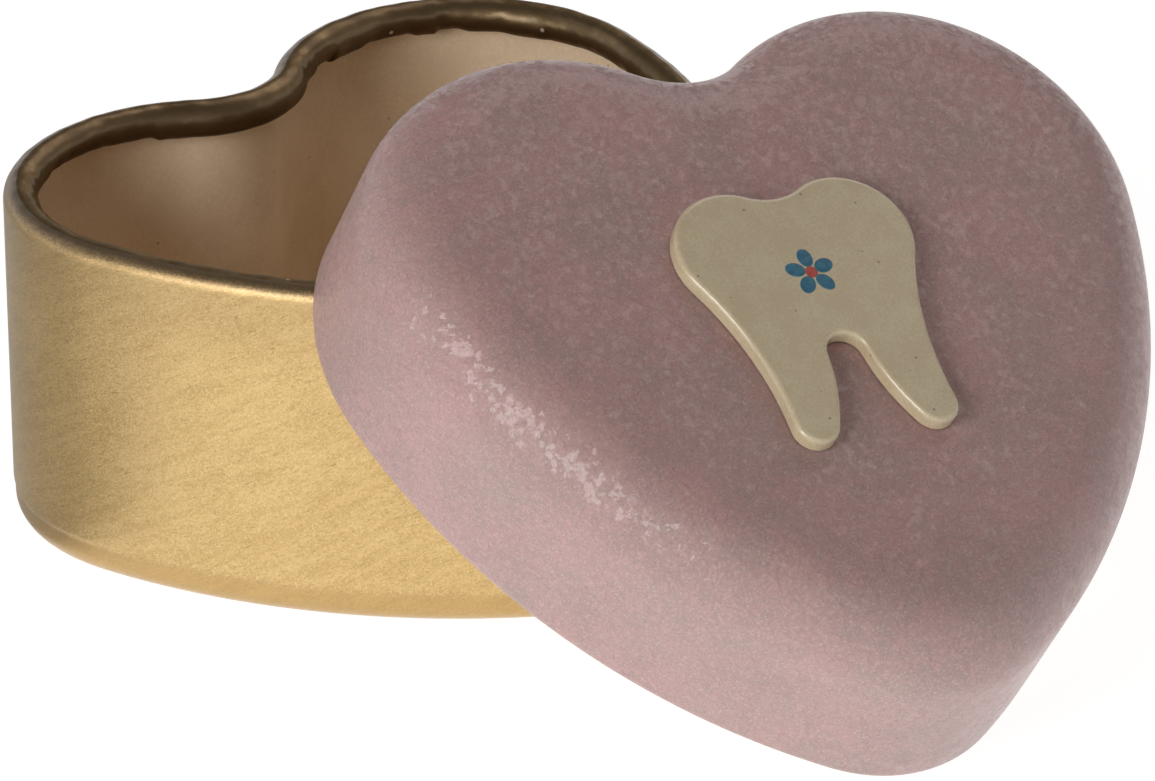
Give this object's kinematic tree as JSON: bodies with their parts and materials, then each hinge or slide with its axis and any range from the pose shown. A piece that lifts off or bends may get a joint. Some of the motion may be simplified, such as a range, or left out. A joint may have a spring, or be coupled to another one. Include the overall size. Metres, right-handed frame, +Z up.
{
  "type": "heart-shaped keepsake tin",
  "caption": "Heart-shaped keepsake tin: rolled-rim base and loose round-shouldered lid with a raised tooth badge, the lid off and leaning on the base.",
  "frame": {"origin": "middle of the base's flat underside", "axes": "+Z up, +Y towards the heart's notch, -Y towards its point, where the lid leans"},
  "size_m": [0.0597, 0.0855, 0.0412],
  "materials": {
    "gold_lacquer": "satin gold lacquer on tinplate, beige inside",
    "pink_lacquer": "matt dusty pink lacquer with a fine orange-peel grain",
    "cream_enamel": "matt cream enamel with a small printed rosette",
    "glue": "clear dried glue film"
  },
  "bodies": {
    "base": {"base_shell": "gold_lacquer"},
    "lid": {"lid_shell": "pink_lacquer", "tooth_badge": "cream_enamel", "badge_adhesive": "glue"}
  },
  "joints": [
    {"name": "lid_lift", "type": "slide", "parent": "base", "child": "lid", "axis": [0, 0, 1], "range_m": [0, 0.05]}
  ]
}
